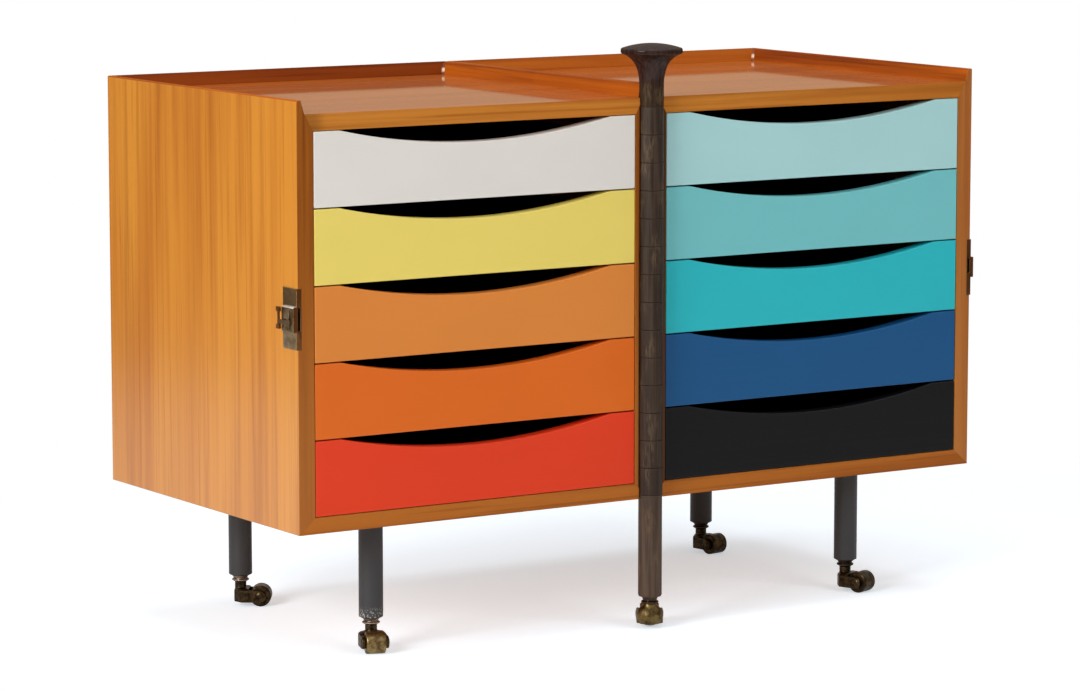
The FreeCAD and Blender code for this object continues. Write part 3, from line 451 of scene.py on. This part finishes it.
def scuffed_leg():
    """The leg's paint, rubbed through in pale specks near the floor end."""
    finish = Finish("leg_scuffed", roughness=0.45)
    finish.put("Specular IOR Level", 0.35)
    specks = finish.noise(finish.scaled((520, 520, 420)), detail=4.0, roughness=0.6)
    low = finish.fade(finish.axis(finish.place, "Z"), *SCUFFED_Z)
    rubbed = finish.math("MULTIPLY", finish.fade(specks, 0.52, 0.62), low)
    finish.put("Base Color", finish.mix(rubbed, LEG_TONE, SCUFF_TONE))
    finish.bump(specks, SCUFF_RELIEF, radius=0.0007, strength=0.4)
    return finish.material


post_wood = post_finish("post_wood", *POST_TONES, ring=0.15)
foot_wood = post_finish("foot_wood", *FOOT_TONES)
head_wood = post_finish(
    "head_wood", *POST_TONES, ring=0.2, specular=0.0, coat=0.3, above=HEAD_TONES,
)
leg_black = paint("leg_black", LEG_TONE, roughness=0.42, edge=0.3, specular=0.35)
leg_scuffed = scuffed_leg()

# The metals

steel = metal("steel", colour(210, 210, 205), colour(170, 168, 160), colour(120, 116, 108))
brass = metal(
    "brass", colour(150, 124, 80), colour(80, 66, 46), colour(34, 29, 22), wear=0.5, scale=150.0,
)
ferrule_brass = metal(
    "ferrule_brass", colour(220, 205, 190), colour(165, 148, 135), colour(90, 76, 68),
    scale=150.0, middle=colour(58, 44, 34),
)
brass_worn = metal(
    "brass_worn", colour(212, 190, 136), colour(160, 140, 94), colour(96, 80, 52), scale=120.0,
)
brass_gold = metal(
    "brass_gold", colour(158, 138, 96), colour(122, 104, 64), colour(70, 56, 36), scale=110.0,
)
latch_brass = metal(
    "latch_brass", colour(206, 184, 142), colour(142, 119, 86), colour(112, 93, 66),
    scale=120.0, painted_highlight=colour(250, 246, 238), front=colour(108, 62, 28),
)
hook_brass = metal(
    "hook_brass", colour(206, 184, 142), colour(142, 119, 86), colour(112, 93, 66),
    wear=0.25, scale=120.0, tail=colour(138, 84, 48),
)


# The drawers' paints, and the finish of every slot

PAINTS = {
    "paint_white": colour(222, 218, 211),
    "paint_yellow": colour(229, 208, 104),
    "paint_amber": colour(216, 130, 54),
    "paint_orange": colour(216, 102, 22),
    "paint_red": colour(220, 58, 22),
    "paint_pale_blue": colour(168, 212, 213),
    "paint_aqua": colour(114, 192, 196),
    "paint_turquoise": colour(40, 182, 192),
    "paint_blue": colour(16, 80, 130),
    "paint_black": colour(10, 10, 14),
}
FINISHES = {slot: paint(slot, tone) for slot, tone in PAINTS.items() if slot != "paint_black"}
FINISHES["paint_black"] = paint("paint_black", PAINTS["paint_black"], specular=0.2)
FINISHES.update(
    side_wood=side_wood, tray_wood=tray_wood, back_wood=back_wood, dark_wood=dark_wood,
    leg_black=leg_black, post_wood=post_wood, steel=steel, brass=brass,
    brass_worn=brass_worn, latch_brass=latch_brass,
)
SLOT_OF = {part["node"]: part["material_slot"] for part in RECORD["subparts"]}


def finish_of(node):
    """The finish of a CAD node: its slot's, or a form of it with another grain or tone."""
    if node == "right_outer_side":
        return side_wood_pale
    if node.endswith("_inner_side"):
        return side_wood_inner
    if node == "post_horn":
        return brass_gold
    if node == "latch_hook":
        return hook_brass
    if node.endswith("_sockets"):
        return ferrule_brass
    if node == "left_front_leg":
        return leg_scuffed
    # Painted shade: all wheels but the front left one and the post's take the darker brass
    if node.endswith("_wheel") and node not in ("left_front_wheel", "post_wheel"):
        return brass
    if node.endswith("_bottom"):
        return level_wood
    if node.endswith("_back_rim"):
        return rim_wood if node.startswith("left") else rim_wood_pale
    if node == "post_head":
        return head_wood
    if node == "post_foot":
        return foot_wood
    return FINISHES[SLOT_OF[node]]


for node, thing in NODES.items():
    thing.data.materials.clear()
    thing.data.materials.append(finish_of(node))


# Pieces that take the place of CAD nodes, with rounded edges and cast surfaces

ALIGNED = 0.99999
SHARP_EDGE = math.radians(40)


def new_piece(name, mesh, finish):
    """A mesh in the scene with one material."""
    piece = bpy.data.objects.new(name, mesh)
    bpy.context.scene.collection.objects.link(piece)
    mesh.materials.clear()
    mesh.materials.append(finish)
    return piece


def settle(piece, sharp_angle=30, flat=False):
    """Applies the piece's modifiers and shades it smooth except at edges over an angle.

    With flat set, faces square to an axis are shaded flat, so that the rounded edges around
    them don't bend their shading.
    """
    graph = bpy.context.evaluated_depsgraph_get()
    settled = bpy.data.meshes.new_from_object(piece.evaluated_get(graph))
    piece.modifiers.clear()
    piece.data = settled
    settled.shade_smooth()
    settled.set_sharp_from_angle(angle=math.radians(sharp_angle))
    if flat:
        for face in settled.polygons:
            face.use_smooth = max(abs(part) for part in face.normal) < ALIGNED


def stand_for(piece, *nodes):
    """The piece rides with the nodes' body and takes their place."""
    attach(piece, BODY_OF[nodes[0]])
    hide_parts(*nodes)


SCOOP_CHORD = 0.350
SCOOP_DEPTH = 0.020
SCOOP_STEPS = 48
FRONT_ROUND = 0.0009
FRONT_ROUND_STEPS = 3
DRAWERS_IN_HALF = 5


def scoop_drop(offset):
    """How far the scoop's arc lies below the front's top edge, at an offset from its middle."""
    half = SCOOP_CHORD / 2
    radius = (half ** 2 + SCOOP_DEPTH ** 2) / (2 * SCOOP_DEPTH)
    if abs(offset) >= half:
        return 0.0
    return math.sqrt(radius ** 2 - offset ** 2) - (radius - SCOOP_DEPTH)


def make_drawer_front(node):
    """A drawer's front with its scoop, rounded edges and near-black faces along the scoop's top.
    """
    low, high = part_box(node)
    middle = (low.x + high.x) / 2
    half = SCOOP_CHORD / 2
    arc = [half * (2 * step / SCOOP_STEPS - 1) for step in range(SCOOP_STEPS + 1)]
    stations = [low.x - middle, *arc, high.x - middle]
    build = bmesh.new()
    rows = []
    for y in (low.y, high.y):
        for top in (False, True):
            heights = [high.z - scoop_drop(x) if top else low.z for x in stations]
            rows.append([build.verts.new((middle + x, y, z)) for x, z in zip(stations, heights)])
    front_low, front_top, back_low, back_top = rows
    for left in range(len(stations) - 1):
        right = left + 1
        for first, second in (
            (front_low, front_top), (front_top, back_top), (back_top, back_low),
            (back_low, front_low),
        ):
            face = build.faces.new((first[left], first[right], second[right], second[left]))
            in_scoop = first is front_top and 0 < left < len(stations) - 2
            face.material_index = 1 if in_scoop else 0
    for end in (0, -1):
        build.faces.new((front_low[end], front_top[end], back_top[end], back_low[end]))
    bmesh.ops.recalc_face_normals(build, faces=build.faces)
    mesh = bpy.data.meshes.new(node + "_painted")
    build.to_mesh(mesh)
    build.free()
    piece = new_piece(node + "_painted", mesh, finish_of(node))
    mesh.materials.append(scoop_dark)
    bevel = piece.modifiers.new("round", "BEVEL")
    bevel.width = FRONT_ROUND
    bevel.segments = FRONT_ROUND_STEPS
    bevel.material = 0
    bevel.limit_method = "ANGLE"
    bevel.angle_limit = SHARP_EDGE
    settle(piece, flat=True)
    stand_for(piece, node)


# A casting's mesh size, and how many rounds of smoothing melt its edges
CAST_GRAIN = 0.0005
POST_HORN_ROUNDS = 30
HORN_ROUNDS = 9
WHEEL_ROUNDS = 6

# The post's horn: a sloping collar and a round back, both placed from the swivel's joint
COLLAR_LOW_RADIUS = 0.0135
COLLAR_TOP_RADIUS = 0.0070
COLLAR_DEPTH = 0.014
COLLAR_DROP = Vector((0, 0, -0.0065))
BACK_RADII = (0.0118, 0.0152, 0.0128, 1)
BACK_DROP = Vector((0, 0, -0.0138))
BACK_SHIFT = Vector((-0.001, 0, 0))


def trail(node):
    """The swivel's joint of a caster's horn, and which way its wheel trails."""
    place = {joint["name"]: joint.get("pos_m") for joint in RECORD["behaviour"]["joints"]}
    pivot = Vector(place[node.replace("_horn", "_swivel_turn")])
    wheel = Vector(place[node.replace("_horn", "_roller_spin")])
    return pivot, math.atan2(wheel.y - pivot.y, wheel.x - pivot.x)


def make_cast(node, rounds, hunched=False):
    """A node's form as a casting: its edges melt into each other.

    A hunched one has a sloping collar and a round back away from its wheel.
    """
    build = bmesh.new()
    build.from_mesh(NODES[node].data)
    bmesh.ops.remove_doubles(build, verts=build.verts, dist=0.00001)
    if hunched:
        pivot, turn = trail(node)
        bmesh.ops.create_cone(
            build, cap_ends=True, segments=32, radius1=COLLAR_LOW_RADIUS,
            radius2=COLLAR_TOP_RADIUS, depth=COLLAR_DEPTH,
            matrix=Matrix.Translation(pivot + COLLAR_DROP),
        )
        back = Matrix.Translation(pivot + BACK_DROP) @ Matrix.Rotation(turn, 4, "Z")
        back = back @ Matrix.Translation(BACK_SHIFT)
        bmesh.ops.create_uvsphere(
            build, u_segments=32, v_segments=20, radius=1.0,
            matrix=back @ Matrix.Diagonal(BACK_RADII),
        )
    mesh = bpy.data.meshes.new(node + "_cast")
    build.to_mesh(mesh)
    build.free()
    piece = new_piece(node + "_cast", mesh, finish_of(node))
    remesh = piece.modifiers.new("cast", "REMESH")
    remesh.mode = "VOXEL"
    remesh.voxel_size = CAST_GRAIN
    smooth = piece.modifiers.new("melt", "SMOOTH")
    smooth.factor = 0.5
    smooth.iterations = rounds
    settle(piece, sharp_angle=180)
    stand_for(piece, node)


FILLET_RADIUS = 0.0026
FILLET_STEPS = 8
FILLET_SUNK = 0.0002
FILLET_TOP_GAP = 0.0015
FILLET_LOW_INSET = 0.010
FILLET_TOP_INSET = 0.0059
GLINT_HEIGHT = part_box("left_back_rim")[0].z + 0.0055
GLINT_HALF_HEIGHTS = (0.0036, 0.0008)
GLINT_TONE = colour(228, 204, 174)


def corner_lacquer_finish():
    """Dark lacquer in the corner, with one painted glint halfway up."""
    finish = Finish("corner_lacquer", roughness=0.4)
    tone = grain_tone(finish, "Z", DARK_RIM)[0]
    level = finish.math("SUBTRACT", finish.axis(finish.place, "Z"), GLINT_HEIGHT)
    # Painted highlight: a pale glint at one height
    glint = finish.fade(finish.math("ABSOLUTE", level), *GLINT_HALF_HEIGHTS)
    finish.put("Base Color", finish.mix(glint, tone, GLINT_TONE))
    return finish.material


corner_lacquer = corner_lacquer_finish()


def make_corner_fillet(name, half, side):
    """The lacquered hollow in a tray's back corner, leaning with the rims."""
    rim_low, rim_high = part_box(half + "_back_rim")
    side_low, side_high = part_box(f"{half}_{side}_side")
    towards = 1 if side_low.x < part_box(half + "_top")[0].x else -1
    edge = side_low.x if towards > 0 else side_high.x
    levels = (
        (rim_low.z + FILLET_SUNK, FILLET_LOW_INSET),
        (rim_high.z - FILLET_TOP_GAP, FILLET_TOP_INSET),
    )
    build = bmesh.new()
    rings = []
    for height, inset in levels:
        corner = Vector((edge + towards * inset, side_high.y - inset, height))
        sunk = Vector((-towards * FILLET_SUNK, FILLET_SUNK, 0))
        ring = [build.verts.new(corner + sunk)]
        for step in range(FILLET_STEPS + 1):
            turn = math.pi / 2 * step / FILLET_STEPS
            across = FILLET_RADIUS * (1 - math.sin(turn))
            back = FILLET_RADIUS * (1 - math.cos(turn))
            ring.append(build.verts.new(corner + Vector((towards * across, -back, 0))))
        rings.append(ring)
    count = len(rings[0])
    for first in range(count):
        second = (first + 1) % count
        build.faces.new((rings[0][first], rings[0][second], rings[1][second], rings[1][first]))
    build.faces.new(rings[0])
    build.faces.new(rings[1])
    bmesh.ops.recalc_face_normals(build, faces=build.faces)
    mesh = bpy.data.meshes.new(name)
    build.to_mesh(mesh)
    build.free()
    piece = new_piece(name, mesh, corner_lacquer)
    settle(piece)
    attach(piece, half + "_half")


CASE_ROUND = 0.0024
CASE_ROUND_STEPS = 5
CASE_SOFT_EDGE = 0.00025
GROOVE_START = 0.006825
GROOVE_WIDTH = 0.0027
GROOVE_BELOW_TOP = 0.00345
GROOVE_HEIGHT = 0.0226
GROOVE_DEPTH = 0.0018
OVERCUT = 0.001
SAME_PLACE = 1e-5


def make_latch_groove():
    """The block that cuts the groove into the latch's case."""
    low = Vector((
        LATCH_LOW.x - OVERCUT,
        LATCH_LOW.y + GROOVE_START,
        CASE_TOP - GROOVE_BELOW_TOP - GROOVE_HEIGHT,
    ))
    high = low + Vector((OVERCUT + GROOVE_DEPTH, GROOVE_WIDTH, GROOVE_HEIGHT))
    build = bmesh.new()
    bmesh.ops.create_cube(build, size=1.0)
    for vert in build.verts:
        vert.co = Vector(high[i] if vert.co[i] > 0 else low[i] for i in range(3))
    mesh = bpy.data.meshes.new("latch_groove")
    build.to_mesh(mesh)
    build.free()
    groove = bpy.data.objects.new("latch_groove", mesh)
    bpy.context.scene.collection.objects.link(groove)
    return groove


def make_latch_case():
    """The latch's case with a rounded top edge, a groove and softened edges."""
    node = "latch_plate"
    build = bmesh.new()
    build.from_mesh(NODES[node].data)
    bmesh.ops.remove_doubles(build, verts=build.verts, dist=0.000001)
    bmesh.ops.dissolve_limit(
        build, angle_limit=math.radians(1), verts=build.verts, edges=build.edges,
    )
    crest = [
        edge for edge in build.edges
        if all(
            math.dist((v.co.x, v.co.z), (LATCH_LOW.x, CASE_TOP)) < SAME_PLACE
            for v in edge.verts
        )
    ]
    bmesh.ops.bevel(
        build, geom=crest, offset=CASE_ROUND, segments=CASE_ROUND_STEPS, profile=0.5,
        affect="EDGES",
    )
    mesh = bpy.data.meshes.new("latch_case")
    build.to_mesh(mesh)
    build.free()
    piece = new_piece("latch_case", mesh, finish_of(node))
    groove = make_latch_groove()
    cut = piece.modifiers.new("groove", "BOOLEAN")
    cut.operation = "DIFFERENCE"
    cut.solver = "EXACT"
    cut.object = groove
    soft = piece.modifiers.new("soft", "BEVEL")
    soft.width = CASE_SOFT_EDGE
    soft.segments = 2
    soft.limit_method = "ANGLE"
    soft.angle_limit = SHARP_EDGE
    settle(piece)
    bpy.data.objects.remove(groove)
    stand_for(piece, node)


make_latch_case()
for half in ("left", "right"):
    for number in range(1, DRAWERS_IN_HALF + 1):
        make_drawer_front(f"{half}_drawer_{number}_front")
    for side in ("outer", "inner"):
        make_corner_fillet(f"{half}_{side}_corner_fillet", half, side)
for node in NODES:
    if node == "post_horn":
        make_cast(node, POST_HORN_ROUNDS, hunched=True)
    elif node.endswith("_horn"):
        make_cast(node, HORN_ROUNDS)
    elif node.endswith("_wheel"):
        make_cast(node, WHEEL_ROUNDS)


# Studio: a pale floor with a soft edge, a pale world, and soft lamps

FLOOR_RADIUS = 2.3
FLOOR_SEGMENTS = 96

# The floor's tone for other rays and for the camera, and the glow that the camera adds
FLOOR_COLOUR = (0.86, 0.86, 0.86, 1)
FLOOR_SEEN = (0.775, 0.86, 0.945, 1)
FLOOR_GLOW = (0.485, 0.505, 0.52, 1)
MIRRORED_GLOW = 0.3
SHADE_SHIFT = (-0.22, -0.05, 0)
SHADE_FADE = (0.45, 1.05)


def make_floor():
    """A near-white disc with the part's shadow; towards its rim the camera sees pure white."""
    mesh = bpy.data.meshes.new("floor")
    build = bmesh.new()
    bmesh.ops.create_circle(build, cap_ends=True, radius=FLOOR_RADIUS, segments=FLOOR_SEGMENTS)
    build.to_mesh(mesh)
    build.free()
    floor = bpy.data.objects.new("floor", mesh)
    bpy.context.scene.collection.objects.link(floor)
    finish = Finish("floor_white")
    path = finish.nodes.new("ShaderNodeLightPath")
    camera_ray = path.outputs["Is Camera Ray"]
    matte = finish.nodes.new("ShaderNodeBsdfDiffuse")
    finish.feed(matte.inputs["Color"], finish.mix(camera_ray, FLOOR_COLOUR, FLOOR_SEEN))
    glow = finish.nodes.new("ShaderNodeEmission")
    glow.inputs["Color"].default_value = FLOOR_GLOW
    mirrored = finish.math("MULTIPLY", path.outputs["Is Glossy Ray"], MIRRORED_GLOW)
    finish.feed(glow.inputs["Strength"], finish.math("MAXIMUM", camera_ray, mirrored))
    lit = finish.nodes.new("ShaderNodeAddShader")
    finish.feed(lit.inputs[0], matte.outputs[0])
    finish.feed(lit.inputs[1], glow.outputs[0])
    distance = finish.nodes.new("ShaderNodeVectorMath")
    distance.operation = "LENGTH"
    finish.feed(distance.inputs[0], finish.scaled((1, 1, 1), SHADE_SHIFT))
    beyond = finish.fade(distance.outputs["Value"], *SHADE_FADE)
    far = finish.math("MULTIPLY", beyond, camera_ray)
    white = finish.nodes.new("ShaderNodeEmission")
    white.inputs["Strength"].default_value = 1.0
    whole = finish.nodes.new("ShaderNodeMixShader")
    finish.feed(whole.inputs[0], far)
    finish.feed(whole.inputs[1], lit.outputs[0])
    finish.feed(whole.inputs[2], white.outputs[0])
    output = next(n for n in finish.nodes if n.type == "OUTPUT_MATERIAL")
    finish.feed(output.inputs["Surface"], whole.outputs[0])
    finish.nodes.remove(finish.shader)
    mesh.materials.append(finish.material)


# Brightness of the mirrored surroundings, from straight down at 0 to straight up at 1
MIRRORED_SKY = (
    (0.0, (0.06, 0.06, 0.06, 1)), (0.48, (0.08, 0.07, 0.06, 1)), (0.53, (0.52, 0.36, 0.22, 1)),
    (0.6, (0.50, 0.42, 0.34, 1)), (0.9, (0.85, 0.85, 0.85, 1)),
)


def make_world(ambient):
    """White for the camera, the banded sky for mirrored rays, and soft light for the rest."""
    world = bpy.data.worlds.new("studio")
    bpy.context.scene.world = world
    world.use_nodes = True
    tree = world.node_tree
    tree.nodes.clear()
    output = tree.nodes.new("ShaderNodeOutputWorld")
    path = tree.nodes.new("ShaderNodeLightPath")
    coords = tree.nodes.new("ShaderNodeTexCoord")
    parts = tree.nodes.new("ShaderNodeSeparateXYZ")
    tree.links.new(coords.outputs["Generated"], parts.inputs[0])
    rise = tree.nodes.new("ShaderNodeValToRGB")
    rise.color_ramp.elements.remove(rise.color_ramp.elements[1])
    for position, tone in MIRRORED_SKY:
        element = rise.color_ramp.elements.new(position)
        element.color = tone
    rise.color_ramp.elements.remove(rise.color_ramp.elements[0])
    upward = tree.nodes.new("ShaderNodeMath")
    upward.operation = "MULTIPLY_ADD"
    upward.inputs[1].default_value = 0.5
    upward.inputs[2].default_value = 0.5
    tree.links.new(parts.outputs["Z"], upward.inputs[0])
    tree.links.new(upward.outputs[0], rise.inputs["Fac"])
    soft = tree.nodes.new("ShaderNodeBackground")
    soft.inputs["Strength"].default_value = ambient
    mirrored = tree.nodes.new("ShaderNodeBackground")
    tree.links.new(rise.outputs["Color"], mirrored.inputs["Color"])
    white = tree.nodes.new("ShaderNodeBackground")
    white.inputs["Strength"].default_value = 1.0
    for background in (soft, white):
        background.inputs["Color"].default_value = (1, 1, 1, 1)
    glossy = tree.nodes.new("ShaderNodeMixShader")
    tree.links.new(path.outputs["Is Glossy Ray"], glossy.inputs[0])
    tree.links.new(soft.outputs[0], glossy.inputs[1])
    tree.links.new(mirrored.outputs[0], glossy.inputs[2])
    seen = tree.nodes.new("ShaderNodeMixShader")
    tree.links.new(path.outputs["Is Camera Ray"], seen.inputs[0])
    tree.links.new(glossy.outputs[0], seen.inputs[1])
    tree.links.new(white.outputs[0], seen.inputs[2])
    tree.links.new(seen.outputs[0], output.inputs["Surface"])


def make_lamp(name, place, target, size, power, shape="RECTANGLE"):
    """A soft area lamp that points at its target."""
    light = bpy.data.lights.new(name, "AREA")
    light.shape = shape
    light.size, light.size_y = size
    light.energy = power
    lamp = bpy.data.objects.new(name, light)
    lamp.location = place
    aim = Vector(target) - Vector(place)
    lamp.rotation_euler = aim.to_track_quat("-Z", "Y").to_euler()
    bpy.context.scene.collection.objects.link(lamp)
    return lamp


make_floor()
make_world(ambient=0.22)
make_lamp("key", place=(-3.5, -1.2, 1.6), target=(0, 0, 0.3), size=(1.6, 1.4), power=108)
fill = make_lamp(
    "fill", place=(1.0, -3.6, 2.0), target=(0, 0, 0.35), size=(2.4, 1.6), power=46,
)
fill.visible_glossy = False
make_lamp(
    "top", place=(0.2, 0.2, 3.4), target=(0, 0, 0.3), size=(2.9, 2.9), power=46,
    shape="ELLIPSE",
)


# Camera at the photograph's angle

CAMERA_PLACE = (-2.7148, -4.2283, 0.9809)
CAMERA_TILT = 82.318
CAMERA_TURN = -32.527
CAMERA_LENS = 143.87
SENSOR_WIDTH = 36

camera_data = bpy.data.cameras.new("camera")
camera_data.sensor_width = SENSOR_WIDTH
camera_data.lens = CAMERA_LENS
camera = bpy.data.objects.new("camera", camera_data)
camera.location = CAMERA_PLACE
camera.rotation_euler = (math.radians(CAMERA_TILT), 0, math.radians(CAMERA_TURN))
bpy.context.scene.collection.objects.link(camera)
bpy.context.scene.camera = camera
bpy.context.scene.view_settings.view_transform = "Standard"
